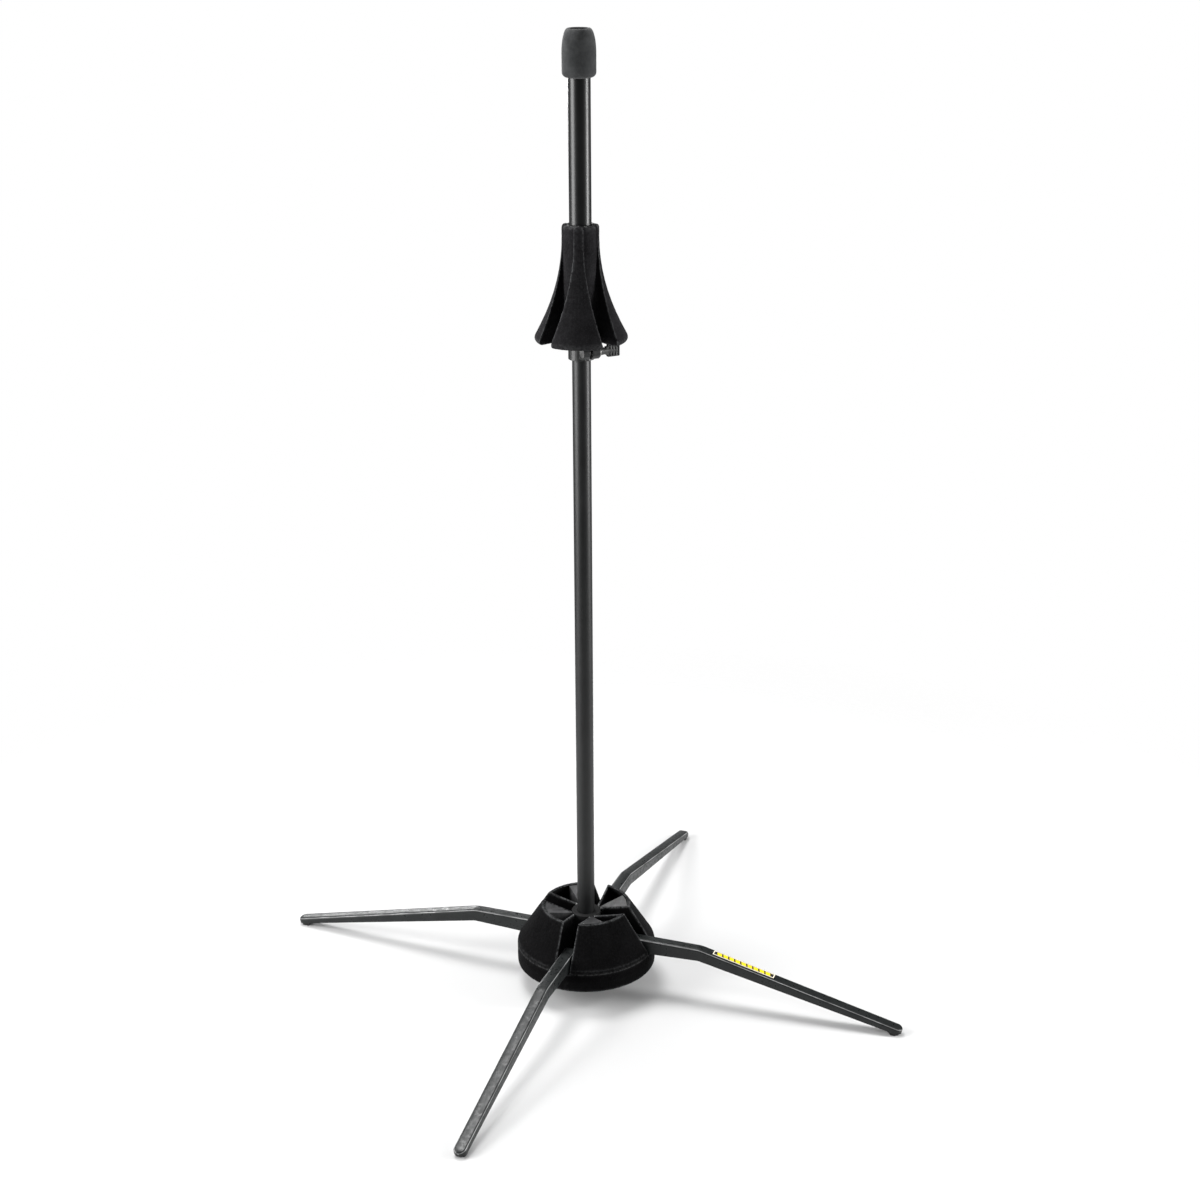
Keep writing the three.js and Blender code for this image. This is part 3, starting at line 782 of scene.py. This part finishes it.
def camera_axes():
    """The camera's right, up and back directions."""
    azimuth, pitch, yaw, roll = (CAMERA[k] for k in ("azimuth", "pitch", "yaw", "roll"))
    inward = Vector((-math.sin(azimuth), math.cos(azimuth), 0))
    across = Vector((math.cos(azimuth), math.sin(azimuth), 0))
    ahead = inward * math.cos(yaw) + across * math.sin(yaw)
    right = across * math.cos(yaw) - inward * math.sin(yaw)
    up = ahead * math.sin(pitch) + Vector((0, 0, math.cos(pitch)))
    back = Vector((0, 0, math.sin(pitch))) - ahead * math.cos(pitch)
    rolled_right = right * math.cos(roll) + up * math.sin(roll)
    rolled_up = up * math.cos(roll) - right * math.sin(roll)
    return rolled_right, rolled_up, back


def make_camera():
    """The camera of the photograph, as fitted to the stand's outline."""
    data = bpy.data.cameras.new("camera")
    data.sensor_width = CAMERA["sensor"]
    data.lens = CAMERA["sensor"] * CAMERA["focal"]
    data.clip_start, data.clip_end = 0.05, 50
    camera = bpy.data.objects.new("camera", data)
    right, up, back = camera_axes()
    turn = Matrix((right, up, back)).transposed().to_4x4()
    azimuth, distance = CAMERA["azimuth"], CAMERA["distance"]
    place = Vector((distance * math.sin(azimuth), -distance * math.cos(azimuth), CAMERA["height"]))
    camera.matrix_world = Matrix.Translation(place) @ turn
    bpy.context.scene.collection.objects.link(camera)
    bpy.context.scene.camera = camera


def soft_light(name, bearing, elevation, distance, size, power, faces_height):
    """A rectangular light at a bearing measured from the camera side, positive to the right."""
    angle = CAMERA["azimuth"] + math.radians(bearing)
    rise = math.radians(elevation)
    out = Vector((
        math.sin(angle) * math.cos(rise), -math.cos(angle) * math.cos(rise), math.sin(rise),
    ))
    data = bpy.data.lights.new(name, "AREA")
    data.shape = "RECTANGLE"
    data.size, data.size_y = size
    data.energy = power
    light = bpy.data.objects.new(name, data)
    light.location = Vector((0, 0, faces_height)) + out * distance
    light.rotation_mode = "QUATERNION"
    light.rotation_quaternion = out.to_track_quat("Z", "Y")
    light.visible_camera = False
    bpy.context.scene.collection.objects.link(light)


# ---------- the stand ----------

def build_shaft():
    """Both tubes, the foam tip and the bell cone."""
    satin = tube_paint("satin_tube_paint", 0.007, 0.012, 0.44, 0.05)
    gloss = tube_paint("gloss_tube_paint", 0.004, 0.007, 0.34, 0.12)
    shaft_tube("lower_shaft", "lower_tube", "base", TUBE_WALL["lower"], satin)
    shaft_tube("upper_shaft", "upper_tube", "upper", TUBE_WALL["upper"], gloss)
    foam_tip(foam_skin())
    velvet_cone(flock("cone_velvet", 0.0075, 0.040))


def build_base(paint):
    """The hub and the four legs with their feet."""
    flocked_hub(flock("hub_flock", 0.0014, 0.012, seam=HUB["seam"]))
    rubber = moulded("rubber", 0.006, 0.013, 0.75)
    for index, side in enumerate(LEG_NAMES):
        pressed_leg(index, paint)
        foot, node = f"rubber_foot_{side}", f"foot_pad_{side}"
        fine_plastic(foot, node, f"leg_{side}", rubber, voxel=0.25 * MM, passes=4)


def build_clamp(dark):
    """The collar of the clamp and the wing of its screw."""
    wing = moulded("wing_moulding", 0.030, 0.060, 0.45, (0.98, 1.0, 0.99))
    fine_plastic(
        "collar_moulding", "clamp_collar", "upper", dark, voxel=0.22 * MM, passes=3,
    )
    fine_plastic(
        "wing_moulding", "wing_knob", "wing", wing, voxel=0.16 * MM, passes=2,
    )


def build():
    """Every fine piece, then the looks of the CAD nodes that stay as they are."""
    paint = leg_paint()
    dark = moulded("dark_moulding", 0.010, 0.030, 0.4, (0.96, 1.0, 0.99))
    build_shaft()
    build_base(paint)
    build_clamp(dark)

    grip = moulded("grey_moulding", 0.035, 0.06, 0.55)
    web = moulded(
        "web_moulding", 0.020, 0.050, 0.5, (1.0, 1.0, 1.03),
        edge=0.0003, streaks=0.4, socket=HUB["socket"],
    )
    finishes = {
        "tube_guide_bush": dark, "top_plug": dark, "tube_plug": grip, "friction_sleeve": grip,
        "hub_core": web, "base_plate": paint, "label_strip": label_print(),
    }
    fasteners = ["hub_screw", "hub_washer", "clamp_nut", "clamp_washer", "clamp_screw"]
    fasteners += [f"pivot_pin_{side}" for side in LEG_NAMES]
    fasteners += [f"plate_screw_{k}" for k in range(1, 5)]
    steel = steel_finish()
    finishes.update({node: steel for node in fasteners})
    finish_cad_nodes(finishes)


bpy.context.scene.view_settings.view_transform = "Standard"
make_camera()
build()
make_floor()
make_world()
for name, settings in LIGHTS.items():
    soft_light(name, *settings)
